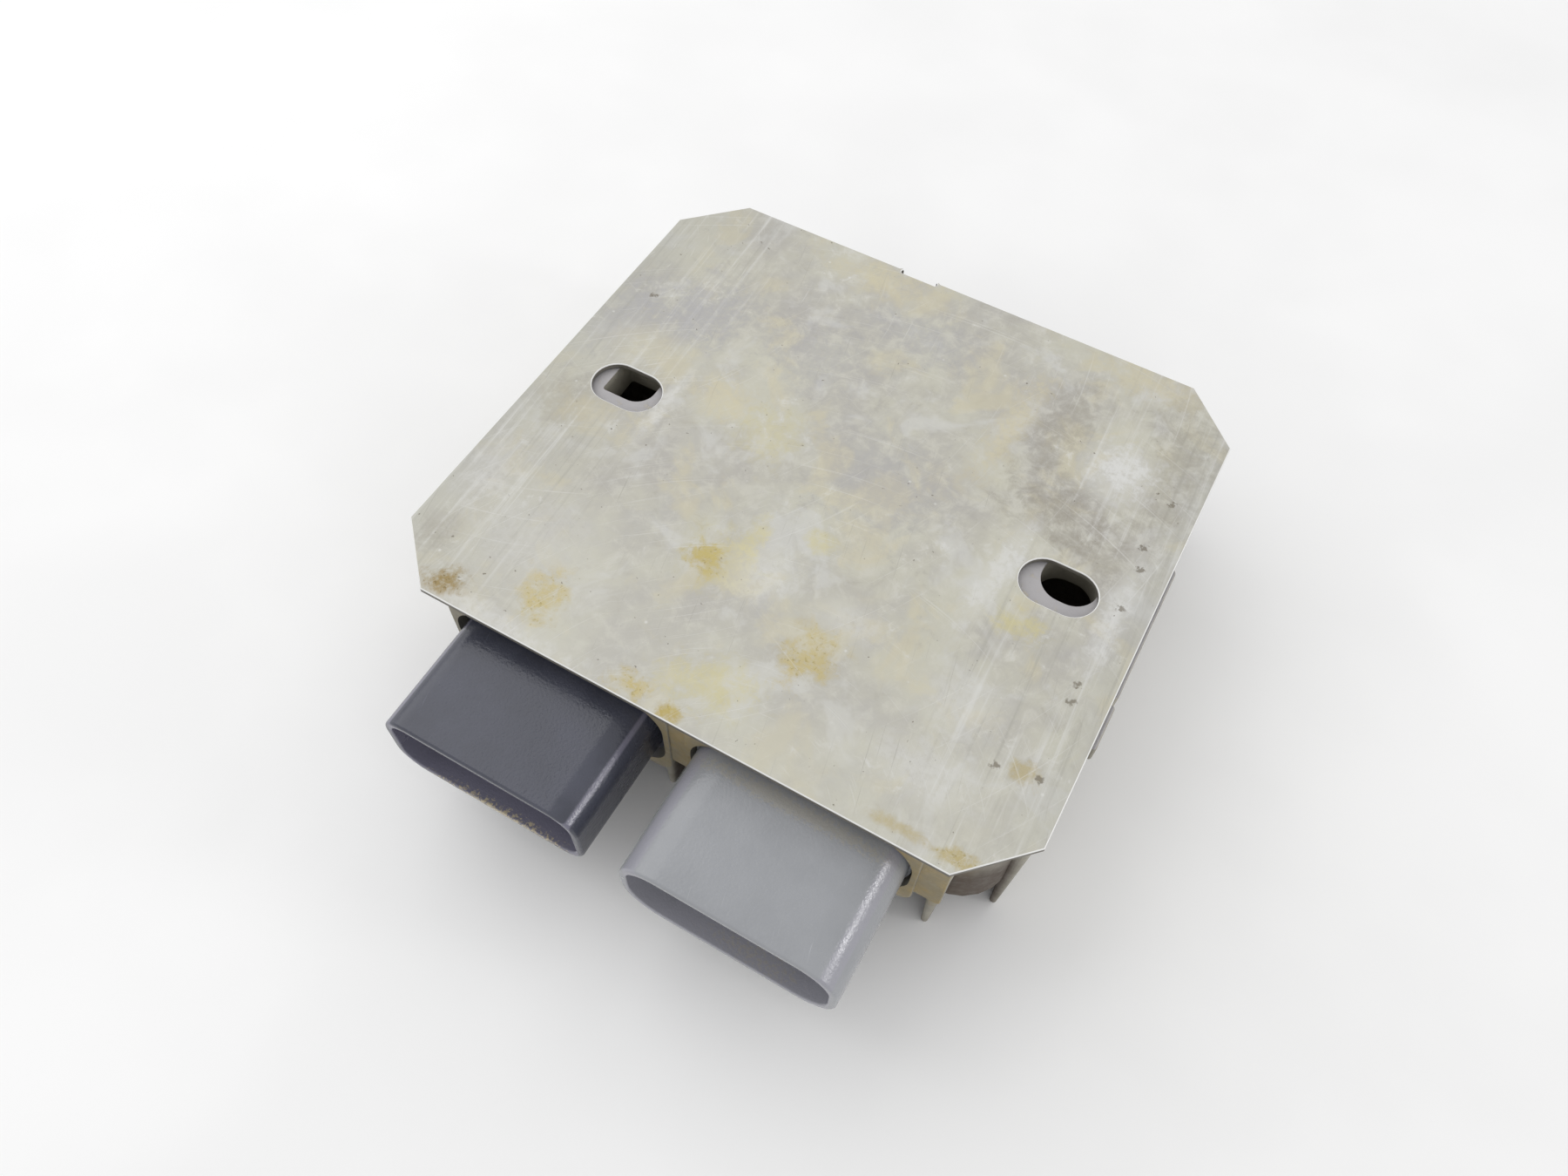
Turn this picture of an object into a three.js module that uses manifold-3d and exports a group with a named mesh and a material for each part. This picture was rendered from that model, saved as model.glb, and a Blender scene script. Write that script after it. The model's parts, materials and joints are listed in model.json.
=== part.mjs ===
// Finned rectifier-regulator module: a die-cast pan with cooling fins, closed by a flat mounting sheet,
// with two sealed plug shrouds at the front. Millimetres, +Z out of the mounting face, so the fins hang
// down. The origin is the centre of the mounting face. The plugs go in along +Y, from the -Y side.
import * as THREE from 'three';
import * as BufferGeometryUtils from 'three/addons/utils/BufferGeometryUtils.js';
import Module from 'manifold-3d';

const wasm = await Module();
wasm.setup();

// ---------- driving dimensions ----------

const HEIGHT = 33;              // mounting face to fin tips
const PLATE_X = 105;            // mounting sheet, along the connector side
const PLATE_Y = 95.9;
const PLATE_CHAMFER = 9.4;
const PLATE_THICK = 1;
const SLOT = { x: 38.45, y: -0.1, length: 12.3, width: 8.2 };
const NOTCH = { x: -8, width: 7, depth: 0.8 };

const CAST_TOP = -1.3;          // top of the casting, just under the sheet
const CAST_FRONT = -46;
const CAST_BACK = 47;
const FLANGE_X = 51.1;          // half width of the thin flange under the sheet
const FLANGE_THICK = 2.5;
const FLANGE_CHAMFER = 9.5;

// Outside of the pan, with x measured from the middle of the fin row.
const PAN = { x: 49.2, front: -43.2, back: 46, radius: 8.5, bottom: -22.5 };

const EAR = { x: 53, y: 13, tip: -4.5, bottom: -7.3 };
const EAR_HOLES = [
  { left: -42.5, right: -34.4, low: -1.5, high: 6.7, leftRadius: 0.5, rightRadius: 3.4 },
  { left: 35.1, right: 44.1, low: -1.5, high: 6.7, leftRadius: 3.9, rightRadius: 3.9 },
];
const POCKET = { y: 2.7, inner: 30.2, outer: 47.5, halfY: 9.3, radius: 3.5 };
const LUG = { x: 53.2, front: -21.4, back: -13.4, top: -1.6, bottom: -5 };

// Inside edge of the pan. It narrows between the two ears.
const CAVITY = { x: 45.5, front: -39.5, back: 43.5, waist: 28, waistHalf: 12, floor: -19.5 };

const FIN_PITCH = 9.16;
const FIN_SHIFT = 0.92;         // the fins and the flange sit this far off the centre line
const INNER_FINS = 10;
const OUTER_FIN_X = 49.23;      // the two outermost fins stand closer to their neighbours
const FIN_ROOT = 3.4;           // thickness just under the sheet and at the tip
const FIN_TIP = 1.1;
const FIN_DRAFT = 1.4;          // how far each end leans in from top to tip
const FIN_BACK = 48.9;
const FRONT_CORNER = 87.2;      // |x| - y on the cut corners at the front, x from the middle of the row
const BACK_CORNER = 90.6;       // |x| + y on the cut corners at the back

const APRON = { left: -40.6, right: 43.4, back: -39, bottom: -19 };
const PORT_Z = -13;             // height of the middle of both ports
const BOSS_FACE = -46.45;
const BOSS_RADIUS = 3;
const PORT_STEP = -42;          // bottom of the recess that takes the connector's flange
const SEAL_THICK = 0.6;

const GROOVE = { inner: 1.5, width: 2, depth: 1.05 };   // for the gasket, round the pan's inside edge
const GASKET_HEIGHT = 0.75;

const SHROUD_WALL = 1.4;
const NECK_INSET = 2;
const WEB_FRONT = -46.3;
const WEB_BACK = -43.2;
const NECK_BACK = -39.9;
const KEY_RIB = { spread: 4.65, width: 0.9, height: 0.4, back: -49 };

// Grow values are measured out from the shroud's own outline.
const CONNECTORS = {
  input: {
    x: -21.2, width: 34.2, height: 15.4, radius: 4.8, mouth: -65.8,
    port: 1.5, boss: 2.4, flange: 1.2, flangeFront: -44.8, blades: [-9.5, 0, 9.5],
  },
  output: {
    x: 20.2, width: 34.6, height: 16.6, radius: 6.6, mouth: -66.8,
    port: 0.8, boss: 1.75, flange: 0.5, flangeFront: -45.2, blades: [-9.5, 9.5],
  },
};
const BLADE = { width: 6.4, thick: 0.8, front: -59.5, back: -34, tail: 3, tailTop: -8.6 };

const SUBSTRATE = { x: 50, y: 60, thick: 1.5, centreY: 4 };
const SWITCH = { x: 10.2, body: 9, tab: 3, height: 3.4, tabHeight: 1.3 };
const SWITCH_COLUMNS = [-15, 0, 15];
const SWITCH_ROWS = [-9, 17];
const BOARD = { bottom: -11, thick: 1.6, inset: 1.2 };
const CAPACITOR = { radius: 4, height: 6.2, y: 34, pitch: 12 };

const GAP = 0.3;                // clearance between pieces that rest on or fit in each other
const CORNER_STEPS = 5;         // straight steps in each rounded corner

// ---------- outlines ----------

// Polygon with right-angled corners, each rounded by a quarter circle. Each corner is [x, y, radius].
function roundedOutline(corners) {
  return new THREE.Shape(corners.flatMap(([x, y, radius], index) => {
    const corner = new THREE.Vector2(x, y);
    const towards = ([nextX, nextY]) => new THREE.Vector2(nextX - x, nextY - y).setLength(radius);
    const start = towards(corners.at(index - 1));
    const end = towards(corners[(index + 1) % corners.length]);
    return Array.from({ length: CORNER_STEPS + 1 }, (_, step) => {
      const angle = (Math.PI / 2) * (step / CORNER_STEPS);
      return corner.clone()
        .addScaledVector(start, 1 - Math.sin(angle))
        .addScaledVector(end, 1 - Math.cos(angle));
    });
  }));
}

function roundedRectangle(left, right, low, high, radius) {
  return roundedOutline([
    [left, low, radius], [right, low, radius], [right, high, radius], [left, high, radius],
  ]);
}

// Rectangle with its four corners cut at 45 degrees.
function octagon(halfX, front, back, cut) {
  return new THREE.Shape([
    [-halfX + cut, front], [halfX - cut, front], [halfX, front + cut], [halfX, back - cut],
    [halfX - cut, back], [-halfX + cut, back], [-halfX, back - cut], [-halfX, front + cut],
  ].map(([x, y]) => new THREE.Vector2(x, y)));
}

// Slot with round ends, longest along X.
function slotOutline(x, y, length, width) {
  const radius = width / 2;
  const reach = length / 2 - radius;
  const shape = new THREE.Shape();
  shape.absarc(x + reach, y, radius, -Math.PI / 2, Math.PI / 2, false);
  shape.absarc(x - reach, y, radius, Math.PI / 2, Math.PI * 1.5, false);
  return shape;
}

// Outline of a connector in the XZ plane, grown outwards by grow.
function ovalOutline({ x, width, height, radius }, grow = 0, corner = radius + grow) {
  const halfX = width / 2 + grow;
  const halfZ = height / 2 + grow;
  return roundedRectangle(x - halfX, x + halfX, PORT_Z - halfZ, PORT_Z + halfZ, corner);
}

// Inside edge of the pan, grown outwards by grow.
function cavityOutline(grow = 0) {
  const { x, front, back, waist, waistHalf } = CAVITY;
  const corner = 8 + grow;
  const shoulder = 3 + grow;
  const inside = 6 - grow;
  const low = POCKET.y - waistHalf + grow;
  const high = POCKET.y + waistHalf - grow;
  const right = [
    [x + grow, front - grow, corner], [x + grow, low, shoulder], [waist + grow, low, inside],
    [waist + grow, high, inside], [x + grow, high, shoulder], [x + grow, back + grow, corner],
  ];
  const left = right.map(([cornerX, cornerY, radius]) => [-cornerX, cornerY, radius]).reverse();
  return roundedOutline([...right, ...left]);
}

// ---------- solids ----------

// Extrudes a shape up from low to high along Z.
function prism(shape, low, high) {
  const options = { depth: high - low, bevelEnabled: false, curveSegments: CORNER_STEPS };
  return new THREE.ExtrudeGeometry(shape, options).translate(0, 0, low);
}

// Extrudes a shape drawn in X and Z along Y, from front to back.
function prismAlongY(shape, front, back) {
  return prism(shape, -back, -front).rotateX(Math.PI / 2);
}

function box(left, right, front, back, low, high) {
  return new THREE.BoxGeometry(right - left, back - front, high - low)
    .translate((left + right) / 2, (front + back) / 2, (low + high) / 2);
}

function toSolid(geometry) {
  const bare = geometry.clone();
  bare.deleteAttribute('normal');
  bare.deleteAttribute('uv');
  const merged = BufferGeometryUtils.mergeVertices(bare, 1e-4);
  return new wasm.Manifold(new wasm.Mesh({
    numProp: 3,
    vertProperties: new Float32Array(merged.attributes.position.array),
    triVerts: new Uint32Array(merged.index.array),
  }));
}

function toGeometry(solid) {
  const mesh = solid.getMesh();
  const geometry = new THREE.BufferGeometry();
  geometry.setAttribute('position', new THREE.BufferAttribute(mesh.vertProperties, 3));
  geometry.setIndex(new THREE.BufferAttribute(mesh.triVerts, 1));
  geometry.computeVertexNormals();
  return geometry;
}

const join = (geometries) => geometries.map(toSolid).reduce((whole, next) => whole.add(next));
const cut = (solid, geometries) => geometries.map(toSolid)
  .reduce((whole, next) => whole.subtract(next), solid);

// ---------- mounting sheet and gasket ----------

function mountingPlate() {
  const outline = octagon(PLATE_X / 2, -PLATE_Y / 2, PLATE_Y / 2, PLATE_CHAMFER);
  for (const side of [-1, 1]) {
    outline.holes.push(slotOutline(side * SLOT.x, SLOT.y, SLOT.length, SLOT.width));
  }
  const notch = box(
    NOTCH.x - NOTCH.width / 2, NOTCH.x + NOTCH.width / 2,
    PLATE_Y / 2 - NOTCH.depth, PLATE_Y / 2 + 1, -PLATE_THICK - 1, 1,
  );
  return toGeometry(cut(toSolid(prism(outline, -PLATE_THICK, 0)), [notch]));
}

// Bead that lies in the groove round the top of the pan.
function plateGasket() {
  const outline = cavityOutline(GROOVE.inner + GROOVE.width - GAP);
  outline.holes.push(cavityOutline(GROOVE.inner + GAP));
  const low = CAST_TOP - GROOVE.depth + GAP;
  return prism(outline, low, low + GASKET_HEIGHT);
}

// ---------- casting ----------

const frontCut = (x) => Math.max(CAST_FRONT, Math.abs(x - FIN_SHIFT) - FRONT_CORNER);
const backCut = (x) => Math.min(FIN_BACK, BACK_CORNER - Math.abs(x - FIN_SHIFT));

// One fin: thick at the flange, thin at the tip, and leaning in at both ends.
function fin(x) {
  const geometry = new THREE.BoxGeometry(1, 1, 1);
  const position = geometry.attributes.position;
  for (let index = 0; index < position.count; index += 1) {
    const atTop = position.getZ(index) > 0;
    const half = (atTop ? FIN_ROOT : FIN_TIP) / 2;
    const lean = atTop ? 0 : FIN_DRAFT;
    const atBack = position.getY(index) > 0;
    const y = atBack ? backCut(x) - lean : frontCut(x) + lean;
    position.setXYZ(index, x + Math.sign(position.getX(index)) * half, y, atTop ? CAST_TOP : -HEIGHT);
  }
  return geometry;
}

function finPositions() {
  const inner = Array.from({ length: INNER_FINS }, (_, index) => (
    FIN_SHIFT + (index - (INNER_FINS - 1) / 2) * FIN_PITCH
  ));
  return [FIN_SHIFT - OUTER_FIN_X, ...inner, FIN_SHIFT + OUTER_FIN_X];
}

// Well under each ear for the bolt head, open at the bottom.
function earPocket(side) {
  const left = Math.min(side * POCKET.inner, side * POCKET.outer);
  const right = Math.max(side * POCKET.inner, side * POCKET.outer);
  const low = POCKET.y - POCKET.halfY;
  const high = POCKET.y + POCKET.halfY;
  return prism(roundedRectangle(left, right, low, high, POCKET.radius), -HEIGHT - 1, EAR.bottom);
}

// Long hole through an ear, partly covered by the sheet's slot.
function earHole({ left, right, low, high, leftRadius, rightRadius }) {
  return prism(roundedOutline([
    [left, low, leftRadius], [right, low, rightRadius], [right, high, rightRadius], [left, high, leftRadius],
  ]), EAR.bottom - 1, 1);
}

function heatsinkHousing() {
  const connectors = Object.values(CONNECTORS);
  const pan = roundedRectangle(FIN_SHIFT - PAN.x, FIN_SHIFT + PAN.x, PAN.front, PAN.back, PAN.radius);
  const body = join([
    prism(pan, PAN.bottom, CAST_TOP),
    prism(octagon(FLANGE_X, CAST_FRONT, CAST_BACK, FLANGE_CHAMFER), CAST_TOP - FLANGE_THICK, CAST_TOP)
      .translate(FIN_SHIFT, 0, 0),
    box(-EAR.x, EAR.x, -EAR.y, EAR.y, EAR.tip, CAST_TOP),
    box(FLANGE_X, LUG.x, LUG.front, LUG.back, LUG.bottom, LUG.top),
    box(APRON.left, APRON.right, CAST_FRONT, APRON.back, APRON.bottom, CAST_TOP),
    ...connectors.map((connector) => (
      prismAlongY(ovalOutline(connector, connector.boss, BOSS_RADIUS), BOSS_FACE, CAVITY.front)
    )),
    ...finPositions().map(fin),
  ]);
  const groove = cavityOutline(GROOVE.inner + GROOVE.width);
  groove.holes.push(cavityOutline(GROOVE.inner));
  return toGeometry(cut(body, [
    prism(cavityOutline(), CAVITY.floor, 1),
    prism(groove, CAST_TOP - GROOVE.depth, 1),
    ...[-1, 1].map(earPocket),
    ...EAR_HOLES.map(earHole),
    ...connectors.flatMap((connector) => [
      prismAlongY(ovalOutline(connector, connector.port), BOSS_FACE - 1, PORT_STEP),
      prismAlongY(ovalOutline(connector, GAP - NECK_INSET), PORT_STEP - 1, CAVITY.front + 1),
    ]),
  ]));
}

// ---------- connectors ----------

// Oval plug shroud: a thin wall open at the mouth, a web behind it, a flange that sits in the casting's
// port and a neck through to the inside.
function connectorShell(connector) {
  const { x, mouth, height, blades, flange, flangeFront } = connector;
  const bottom = PORT_Z - height / 2;
  const ribs = [-1, 1].map((side) => {
    const middle = x + side * KEY_RIB.spread;
    return box(
      middle - KEY_RIB.width / 2, middle + KEY_RIB.width / 2,
      mouth + 0.4, KEY_RIB.back, bottom - KEY_RIB.height, bottom + 0.5,
    );
  });
  const body = join([
    prismAlongY(ovalOutline(connector), mouth, WEB_BACK),
    prismAlongY(ovalOutline(connector, flange), flangeFront, WEB_BACK),
    prismAlongY(ovalOutline(connector, -NECK_INSET), WEB_BACK - 1, NECK_BACK),
    ...ribs,
  ]);
  const half = BLADE.width / 2 + GAP;
  const thick = BLADE.thick / 2 + GAP;
  return toGeometry(cut(body, [
    prismAlongY(ovalOutline(connector, -SHROUD_WALL), mouth - 1, WEB_FRONT),
    ...blades.map((offset) => box(
      x + offset - half, x + offset + half, WEB_FRONT - 1, NECK_BACK + 1, PORT_Z - thick, PORT_Z + thick,
    )),
  ]));
}

// Flat seal between the back of the shroud's flange and the bottom of the port's recess.
function sealRing(connector) {
  const outline = ovalOutline(connector, connector.flange);
  outline.holes.push(ovalOutline(connector, GAP - NECK_INSET));
  return prismAlongY(outline, PORT_STEP - GAP - SEAL_THICK, PORT_STEP - GAP);
}

// Flat blade for the plug, with a narrow tail up through the control board.
function terminal(x) {
  const { width, thick, front, back, tail, tailTop } = BLADE;
  const low = PORT_Z - thick / 2;
  const high = PORT_Z + thick / 2;
  const tip = new THREE.Shape();
  tip.moveTo(x - width / 2, back);
  tip.lineTo(x - width / 2, front + 1.5);
  tip.lineTo(x - width / 2 + 1.2, front);
  tip.lineTo(x + width / 2 - 1.2, front);
  tip.lineTo(x + width / 2, front + 1.5);
  tip.lineTo(x + width / 2, back);
  return toGeometry(join([
    prism(tip, low, high),
    box(x - tail / 2, x + tail / 2, back - thick, back, low, tailTop),
  ]));
}

// ---------- power stage, board and resin ----------

const substrateTop = CAVITY.floor + GAP + SUBSTRATE.thick;
const boardTop = BOARD.bottom + BOARD.thick;

function powerSubstrate() {
  const { x, y, thick, centreY } = SUBSTRATE;
  const outline = roundedRectangle(-x / 2, x / 2, centreY - y / 2, centreY + y / 2, 2);
  return prism(outline, substrateTop - thick, substrateTop);
}

// Packaged transistor: a moulded body with its metal tab at the back.
function powerSwitch(x, y, grow = 0) {
  const low = substrateTop + GAP - grow;
  const half = SWITCH.x / 2 + grow;
  return toGeometry(join([
    box(x - half, x + half, y - grow, y + SWITCH.body + grow, low, low + SWITCH.height + 2 * grow),
    box(x - half, x + half, y, y + SWITCH.body + SWITCH.tab + grow, low, low + SWITCH.tabHeight + 2 * grow),
  ]));
}

const switchPlaces = SWITCH_ROWS.flatMap((y) => SWITCH_COLUMNS.map((x) => [x, y]));
const bladePlaces = Object.entries(CONNECTORS).flatMap(([side, { x, blades }]) => (
  blades.map((offset, index) => [`${side}_terminal_${index + 1}`, x + offset])
));

function controlBoard() {
  const tails = bladePlaces.map(([, x]) => {
    const half = BLADE.tail / 2 + GAP;
    return box(x - half, x + half, BLADE.back - BLADE.thick - GAP, BLADE.back + GAP, -HEIGHT, 0);
  });
  return toGeometry(cut(toSolid(prism(cavityOutline(-BOARD.inset), BOARD.bottom, boardTop)), tails));
}

// Resin between the power stage and the board, cast round the switches and the blades.
function pottingCompound() {
  const low = substrateTop + GAP;
  const block = toSolid(prism(cavityOutline(-GAP), low, BOARD.bottom - GAP));
  const blades = bladePlaces.map(([, x]) => {
    const half = BLADE.width / 2 + GAP;
    const thick = BLADE.thick / 2 + GAP;
    return box(x - half, x + half, CAVITY.front - 1, BLADE.back + GAP, PORT_Z - thick, PORT_Z + thick + 4);
  });
  const switches = switchPlaces.map(([x, y]) => powerSwitch(x, y, GAP));
  return toGeometry(cut(block, [...blades, ...switches]));
}

function controlChip() {
  const low = boardTop + GAP;
  return prism(roundedRectangle(-6, 6, -16, -6, 0.6), low, low + 1.8);
}

function senseResistor() {
  const low = boardTop + GAP;
  return prism(roundedRectangle(10, 23, -15, -8, 0.8), low, low + 3);
}

function filterCapacitor(x) {
  const low = boardTop + GAP;
  return new THREE.CylinderGeometry(CAPACITOR.radius, CAPACITOR.radius, CAPACITOR.height, 20)
    .rotateX(Math.PI / 2)
    .translate(x, CAPACITOR.y, low + CAPACITOR.height / 2);
}

// ---------- materials and assembly ----------

const FINISH = {
  sheet: { color: 0xc9c8c0, roughness: 0.5, metalness: 0.7 },
  casting: { color: 0x9a9890, roughness: 0.6, metalness: 0.6 },
  darkPlastic: { color: 0x4b4c55, roughness: 0.5, metalness: 0 },
  greyPlastic: { color: 0x95989b, roughness: 0.5, metalness: 0 },
  rubber: { color: 0x2a2a2a, roughness: 0.8, metalness: 0 },
  tinned: { color: 0xc8c8c8, roughness: 0.3, metalness: 0.9 },
  ceramic: { color: 0xe8e4da, roughness: 0.6, metalness: 0 },
  moulding: { color: 0x1c1c1e, roughness: 0.6, metalness: 0 },
  board: { color: 0x1f5a34, roughness: 0.5, metalness: 0 },
  resin: { color: 0x2b2a28, roughness: 0.35, metalness: 0 },
};

const group = new THREE.Group();

function add(name, geometry, finish) {
  const mesh = new THREE.Mesh(geometry, new THREE.MeshStandardMaterial(FINISH[finish]));
  mesh.name = name;
  group.add(mesh);
}

add('mounting_plate', mountingPlate(), 'sheet');
add('plate_gasket', plateGasket(), 'rubber');
add('heatsink_housing', heatsinkHousing(), 'casting');
add('input_connector_shell', connectorShell(CONNECTORS.input), 'darkPlastic');
add('output_connector_shell', connectorShell(CONNECTORS.output), 'greyPlastic');
add('input_seal_ring', sealRing(CONNECTORS.input), 'rubber');
add('output_seal_ring', sealRing(CONNECTORS.output), 'rubber');
bladePlaces.forEach(([name, x]) => add(name, terminal(x), 'tinned'));
add('power_substrate', powerSubstrate(), 'ceramic');
switchPlaces.forEach(([x, y], index) => add(`power_switch_${index + 1}`, powerSwitch(x, y), 'moulding'));
add('potting_compound', pottingCompound(), 'resin');
add('control_board', controlBoard(), 'board');
add('control_chip', controlChip(), 'moulding');
add('sense_resistor', senseResistor(), 'ceramic');
[-1, 0, 1].forEach((place, index) => {
  add(`filter_capacitor_${index + 1}`, filterCapacitor(place * CAPACITOR.pitch), 'moulding');
});

export default group;
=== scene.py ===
"""Looks for a finned rectifier regulator module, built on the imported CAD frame.

The builders work in millimetres, in the frame of the CAD part, and scale to metres at the end.
+Z points out of the mounting face, and the plugs go in along +Y.
"""
import json
import math

import bmesh
import bpy
from mathutils import Matrix, Vector
from mathutils.geometry import tessellate_polygon


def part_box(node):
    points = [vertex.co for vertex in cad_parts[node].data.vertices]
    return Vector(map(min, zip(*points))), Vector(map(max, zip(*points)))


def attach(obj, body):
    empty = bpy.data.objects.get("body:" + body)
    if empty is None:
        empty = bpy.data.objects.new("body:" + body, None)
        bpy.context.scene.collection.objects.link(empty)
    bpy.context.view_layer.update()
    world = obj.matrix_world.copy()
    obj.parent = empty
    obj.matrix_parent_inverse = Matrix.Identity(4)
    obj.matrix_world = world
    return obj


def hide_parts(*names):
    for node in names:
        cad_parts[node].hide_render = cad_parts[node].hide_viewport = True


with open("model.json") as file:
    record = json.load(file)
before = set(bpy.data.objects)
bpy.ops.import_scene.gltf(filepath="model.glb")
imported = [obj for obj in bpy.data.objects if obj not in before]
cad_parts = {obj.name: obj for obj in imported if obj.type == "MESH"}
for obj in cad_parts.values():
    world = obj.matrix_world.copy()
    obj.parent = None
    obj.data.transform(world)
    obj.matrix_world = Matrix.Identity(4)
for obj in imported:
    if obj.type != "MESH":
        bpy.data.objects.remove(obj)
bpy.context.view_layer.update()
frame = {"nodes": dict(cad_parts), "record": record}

MM = 0.001
SHARP_DEGREES = 35


def box_mm(node):
    """Lowest and highest corner of a CAD node, in mm."""
    low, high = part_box(node)
    return [value / MM for value in low], [value / MM for value in high]


# ---------- driving dimensions, mm ----------

HOUSING_LOW, HOUSING_HIGH = box_mm("heatsink_housing")
PLATE_LOW, PLATE_HIGH = box_mm("mounting_plate")
PLATE_CHAMFER = 9.4
SLOT = {"x": 38.45, "y": -0.1, "length": 12.3, "width": 8.2}
NOTCH = {"x": -8, "width": 7, "depth": 0.8}

TABLE_Z = HOUSING_LOW[2]
CAST_TOP = HOUSING_HIGH[2]
CAST_FRONT = -46
CAST_BACK = 47
FLANGE_X = 51.1
FLANGE_THICK = 2.5
FLANGE_CHAMFER = 9.5
PAN = {"x": 49.2, "front": -43.2, "back": 46, "radius": 8.5, "bottom": -22.5}
EAR = {"x": 53, "y": 13, "tip": -4.5, "bottom": -7.3}
EAR_HOLES = [
    {"left": -42.5, "right": -34.4, "low": -1.5, "high": 6.7, "left_radius": 0.5, "right_radius": 3.4},
    {"left": 35.1, "right": 44.1, "low": -1.5, "high": 6.7, "left_radius": 3.9, "right_radius": 3.9},
]
POCKET = {"y": 2.7, "inner": 30.2, "outer": 47.5, "half_y": 9.3, "radius": 3.5}
LUG = {"x": 53.2, "front": -21.4, "back": -13.4, "top": -1.6, "bottom": -5}
CAVITY = {
    "x": 45.5, "front": -39.5, "back": 43.5, "floor": -19.5, "corner": 8,
    "waist": 28, "waist_half": 12, "shoulder": 3, "waist_corner": 6,
}
GROOVE = {"inner": 1.5, "outer": 3.5, "depth": 1.05}

FIN_PITCH = 9.16
FIN_SHIFT = 0.92
INNER_FINS = 10
OUTER_FIN_X = 49.23
FIN_ROOT = 3.4
FIN_TIP = 1.1
FIN_FLARE = {"radius": 1.3, "setback": 1.8}
FIN_BACK = 48.9
FRONT_CORNER = 87.2
BACK_CORNER = 90.6

APRON = {"left": -40.6, "right": 43.4, "back": -39, "bottom": -19}
PORT_Z = -13
BOSS_FACE = -46.45
BOSS_RADIUS = 3
PORT_STEP = -42
SHROUD_WALL = 1.4
NECK_INSET = 2
WEB_FRONT = -46.3
WEB_BACK = -43.2
NECK_BACK = -39.9
GAP = 0.3
CONNECTORS = {
    "input": {
        "x": -21.2, "width": 34.2, "height": 15.4, "radius": 4.8, "mouth": -65.8,
        "port": 1.5, "boss": 2.4, "flange": 1.2, "flange_front": -44.8,
    },
    "output": {
        "x": 20.2, "width": 34.6, "height": 16.6, "radius": 6.6, "mouth": -66.8,
        "port": 0.8, "boss": 1.75, "flange": 0.5, "flange_front": -45.2,
    },
}
RIB = {"spread": 4.65, "width": 0.9, "height": 0.35, "back": -49}
BLADE = {
    "width": 6.4, "thick": 0.8, "front": -59.5, "back": -34, "tip_length": 1.5, "tip_inset": 1.2,
    "tail": 3, "tail_top": -8.6,
}

# ---------- outlines: lists of (x, y), anticlockwise, with the solid on the left ----------


def quarter_turns(steps):
    """(1 - cosine, 1 - sine) from 0 to 90 degrees."""
    angles = [math.pi / 2 * step / steps for step in range(steps + 1)]
    return [(1 - math.cos(angle), 1 - math.sin(angle)) for angle in angles]


def rounded(corners, steps=6):
    """Polygon of right-angled corners, rounded by quarter circles. Each corner is (x, y, radius)."""
    turns = quarter_turns(steps)
    points = []
    for index, (x, y, radius) in enumerate(corners):
        corner = Vector((x, y))
        start = (Vector(corners[index - 1][:2]) - corner).normalized() * radius
        end = (Vector(corners[(index + 1) % len(corners)][:2]) - corner).normalized() * radius
        for rise, fall in turns if radius else turns[:1]:
            point = corner + start * fall + end * rise
            points.append((point.x, point.y))
    return points


def rectangle(left, right, low, high, radius=0.0, steps=6):
    return rounded([
        (left, low, radius), (right, low, radius), (right, high, radius), (left, high, radius),
    ], steps)


def octagon(centre_x, half_x, front, back, cut):
    return [(centre_x + x, y) for x, y in (
        (-half_x + cut, front), (half_x - cut, front), (half_x, front + cut), (half_x, back - cut),
        (half_x - cut, back), (-half_x + cut, back), (-half_x, back - cut), (-half_x, front + cut),
    )]


def stadium(x, y, length, width, steps):
    """Slot along X with half-round ends."""
    reach = (length - width) / 2
    points = []
    for end in (1, -1):
        for step in range(steps + 1):
            angle = math.pi * (step / steps - 0.5)
            points.append((
                x + end * (reach + math.cos(angle) * width / 2),
                y + end * math.sin(angle) * width / 2,
            ))
    return points


def oval(connector, grow=0.0, corner=None, steps=8):
    """A connector's outline in X and Z, grown outwards. corner overrides its corner radius."""
    half_x = connector["width"] / 2 + grow
    half_z = connector["height"] / 2 + grow
    radius = connector["radius"] + grow if corner is None else corner
    x = connector["x"]
    return rectangle(x - half_x, x + half_x, PORT_Z - half_z, PORT_Z + half_z, radius, steps)


def cavity(grow=0.0):
    """Inside edge of the pan, which narrows between the two ears."""
    x = CAVITY["x"]
    waist = CAVITY["waist"]
    low = POCKET["y"] - CAVITY["waist_half"] + grow
    high = POCKET["y"] + CAVITY["waist_half"] - grow
    shoulder = CAVITY["shoulder"] + grow
    inside = CAVITY["waist_corner"] - grow
    corner = CAVITY["corner"] + grow
    right = [
        (x + grow, CAVITY["front"] - grow, corner), (x + grow, low, shoulder),
        (waist + grow, low, inside), (waist + grow, high, inside),
        (x + grow, high, shoulder), (x + grow, CAVITY["back"] + grow, corner),
    ]
    left = [(-corner_x, y, radius) for corner_x, y, radius in reversed(right)]
    return rounded(right + left)


def inset(outline, distance):
    """The outline moved into the solid by distance, with the sharpest corners held back."""
    least_cosine = 0.3
    moved = []
    for index, point in enumerate(outline):
        here = Vector(point)
        before = (here - Vector(outline[index - 1])).normalized()
        after = (Vector(outline[(index + 1) % len(outline)]) - here).normalized()
        normals = (Vector((-before.y, before.x)), Vector((-after.y, after.x)))
        middle = (normals[0] + normals[1]).normalized()
        moved.append(here + middle * (distance / max(least_cosine, middle.dot(normals[0]))))
    return moved


# ---------- solids ----------


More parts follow.
